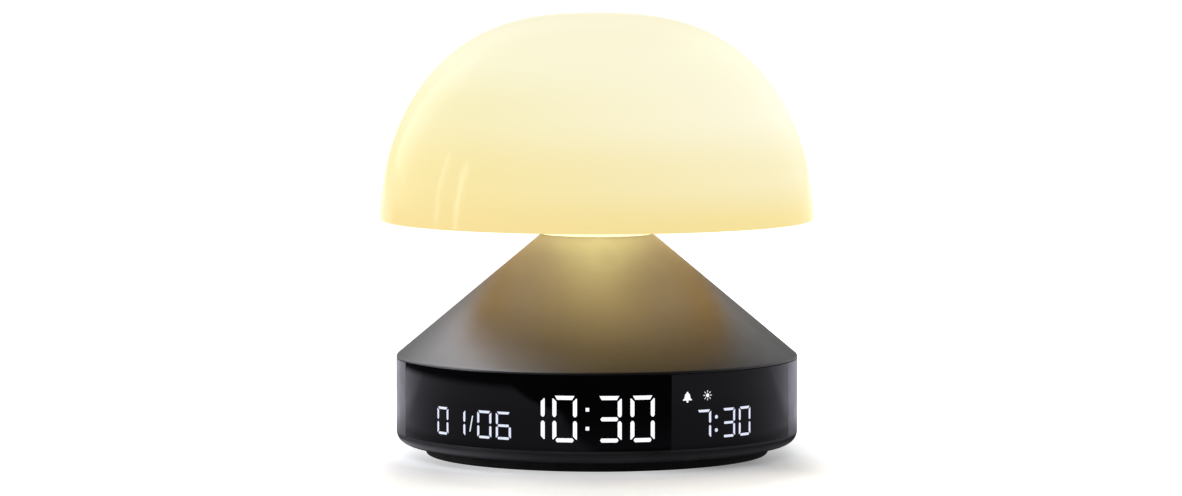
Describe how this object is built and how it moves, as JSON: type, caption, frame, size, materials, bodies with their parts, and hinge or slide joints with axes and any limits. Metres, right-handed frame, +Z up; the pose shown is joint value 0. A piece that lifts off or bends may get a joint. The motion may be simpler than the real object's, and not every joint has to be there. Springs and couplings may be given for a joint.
{
  "type": "sunrise alarm clock",
  "caption": "Bedside alarm clock and wake-up light: round base with a curved lit display, metal cone, glowing collar and an opal dome that is pressed like a button.",
  "frame": {"origin": "centre of the footprint, on the surface that the clock stands on", "axes": "+Z up along the axis of the base, cone and dome; the display faces -Y; +X is to the right seen from the front"},
  "size_m": [0.145, 0.145, 0.1469],
  "materials": {
    "housing": "satin",
    "lens": "polished",
    "reflector": "matt white",
    "board": "solder mask",
    "lamp_white": "clear",
    "cable": "plain",
    "cover": "fine texture",
    "foot": "matt",
    "screw": "zinc plated",
    "chip": "plain",
    "inner_black": "plain",
    "cell": "plain",
    "steel_dark": "plated",
    "paper_cone": "pressed",
    "steel": "plain",
    "cone_metal": "satin anodised gunmetal",
    "raw_aluminium": "turned",
    "white_board": "white solder mask",
    "lamp_warm": "phosphor",
    "glow_collar": "opal, lit from inside",
    "bush": "plain",
    "spring": "spring steel",
    "shade": "opal gloss, lit from inside",
    "stem": "clear",
    "button": "satin"
  },
  "bodies": {
    "base": {"base_housing": "housing", "display_window": "lens", "digit_reflector": "reflector", "display_board": "board", "display_leds": "lamp_white", "display_ribbon": "cable", "bottom_cover": "cover", "foot_ring": "foot", "cover_screws": "screw", "main_board": "board", "board_screws": "screw", "board_chips": "chip", "battery_holder": "inner_black", "coin_cell": "cell", "speaker_frame": "steel_dark", "speaker_magnet": "steel_dark", "speaker_cone": "paper_cone", "inlet_board": "board", "power_inlet": "steel", "inlet_lead": "cable", "button_board": "board", "button_switches": "inner_black", "slide_switch": "inner_black", "button_ribbon": "cable", "chassis_plate": "inner_black", "chassis_screws": "screw", "cone_ring": "inner_black", "cone_screws": "screw", "cone_cap": "cone_metal", "lamp_column": "raw_aluminium", "column_screws": "screw", "lamp_cable": "cable", "light_board": "white_board", "light_leds": "lamp_warm", "press_switch": "inner_black", "light_diffuser": "glow_collar", "guide_bush": "bush", "return_spring": "spring"},
    "dome": {"shade": "shade", "shade_stem": "stem", "stem_clip": "screw"},
    "time_button": {"time_button": "button"},
    "alarm_button": {"alarm_button": "button"},
    "light_button": {"light_button": "button"},
    "minus_button": {"minus_button": "button"},
    "plus_button": {"plus_button": "button"},
    "alarm_slider": {"alarm_slider": "button"}
  },
  "joints": [
    {"name": "dome_press", "type": "slide", "parent": "base", "child": "dome", "axis": [0, 0, 1], "range_m": [-0.0015, 0], "stiffness_N_per_m": 1500, "springref_m": 0.003, "deforming": ["return_spring"]},
    {"name": "time_button_press", "type": "slide", "parent": "base", "child": "time_button", "axis": [0.4695, -0.8829, 0], "range_m": [0, 0.0008], "stiffness_N_per_m": 400, "springref_m": -0.001},
    {"name": "alarm_button_press", "type": "slide", "parent": "base", "child": "alarm_button", "axis": [0.2419, -0.9703, 0], "range_m": [0, 0.0008], "stiffness_N_per_m": 400, "springref_m": -0.001},
    {"name": "light_button_press", "type": "slide", "parent": "base", "child": "light_button", "axis": [0, -1, 0], "range_m": [0, 0.0008], "stiffness_N_per_m": 400, "springref_m": -0.001},
    {"name": "minus_button_press", "type": "slide", "parent": "base", "child": "minus_button", "axis": [-0.2419, -0.9703, 0], "range_m": [0, 0.0008], "stiffness_N_per_m": 400, "springref_m": -0.001},
    {"name": "plus_button_press", "type": "slide", "parent": "base", "child": "plus_button", "axis": [-0.4695, -0.8829, 0], "range_m": [0, 0.0008], "stiffness_N_per_m": 400, "springref_m": -0.001},
    {"name": "alarm_slide", "type": "slide", "parent": "base", "child": "alarm_slider", "axis": [-0.6743, 0.7385, 0], "range_m": [0, 0.003]}
  ]
}
